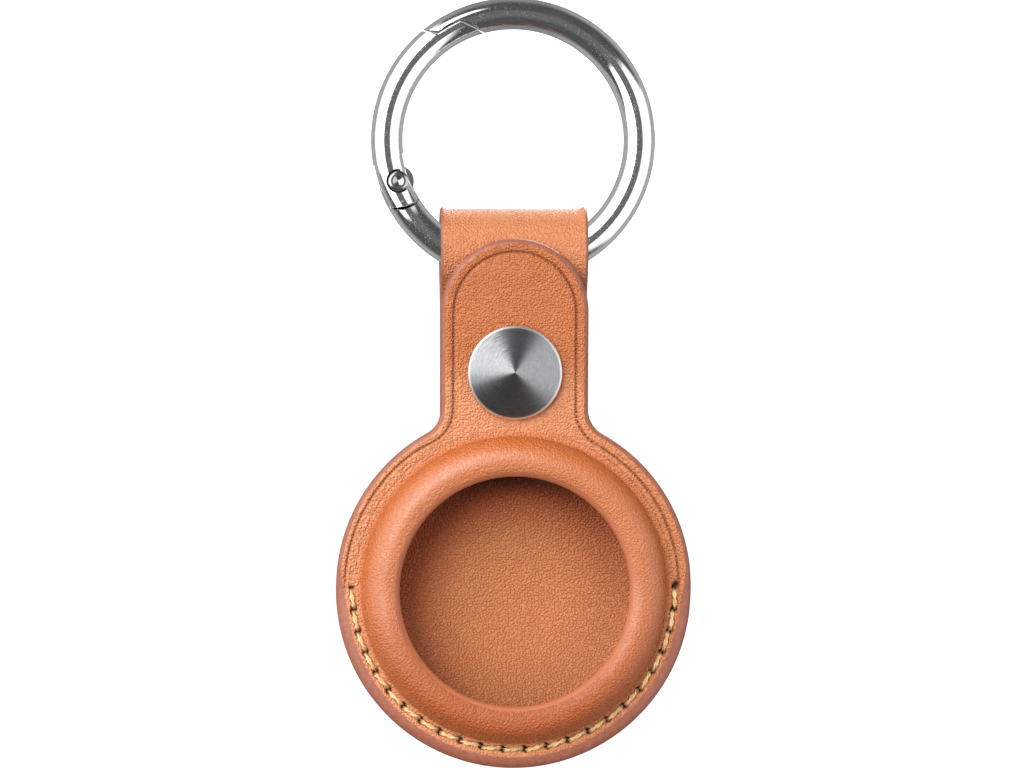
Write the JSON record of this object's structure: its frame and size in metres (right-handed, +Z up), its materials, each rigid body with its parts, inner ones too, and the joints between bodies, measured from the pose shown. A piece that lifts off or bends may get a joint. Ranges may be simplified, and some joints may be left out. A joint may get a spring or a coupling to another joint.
{
  "type": "tracker tag holder",
  "caption": "Leather holder for a round tracker tag: moulded pocket with a window, snap tongue and strap loop on a spring gate ring.",
  "frame": {"origin": "centre of the gate ring, in the plane of its wire", "axes": "+X to the right as seen from the front, +Y from front to back along the ring's eye, +Z up from the holder to the ring"},
  "size_m": [0.0394, 0.0116, 0.0855],
  "materials": {
    "tan_leather": "smooth grained leather, satin",
    "lining_leather": "grained leather, satin",
    "seam_thread": "waxed twisted thread",
    "ring_chrome": "polished plating",
    "rivet_steel": "polished",
    "spring_steel": "drawn wire",
    "snap_steel": "circular brushed",
    "snap_inner_steel": "pressed sheet"
  },
  "bodies": {
    "ring": {"ring_frame": "ring_chrome"},
    "gate": {"ring_gate": "ring_chrome", "gate_rivet": "rivet_steel", "gate_spring": "spring_steel"},
    "holder": {"back_panel": "tan_leather", "pocket_lining": "lining_leather", "front_panel": "tan_leather", "seam_needle_thread": "seam_thread", "seam_bobbin_thread": "seam_thread", "snap_stud": "snap_inner_steel", "snap_stud_post": "snap_steel"},
    "flap": {"front_flap": "tan_leather", "snap_cap": "snap_steel", "snap_cap_post": "snap_inner_steel", "snap_socket": "snap_inner_steel", "snap_spring": "spring_steel"}
  },
  "joints": [
    {"name": "gate_swing", "type": "hinge", "parent": "ring", "child": "gate", "pos_m": [-0.0128, 0, -0.00461], "axis": [0, 1, 0], "range_deg": [0, 30], "stiffness_Nm_per_rad": 0.01, "springref_deg": -20.05, "deforming": ["gate_spring"]},
    {"name": "holder_swing", "type": "hinge", "parent": "ring", "child": "holder", "pos_m": [0, 0, -0.01235], "axis": [1, 0, 0], "range_deg": [-120, 120]},
    {"name": "flap_open", "type": "hinge", "parent": "holder", "child": "flap", "pos_m": [0, -0.0051, -0.05], "axis": [1, 0, 0], "range_deg": [0, 60], "stiffness_Nm_per_rad": 0.005, "deforming": ["snap_spring"]}
  ]
}
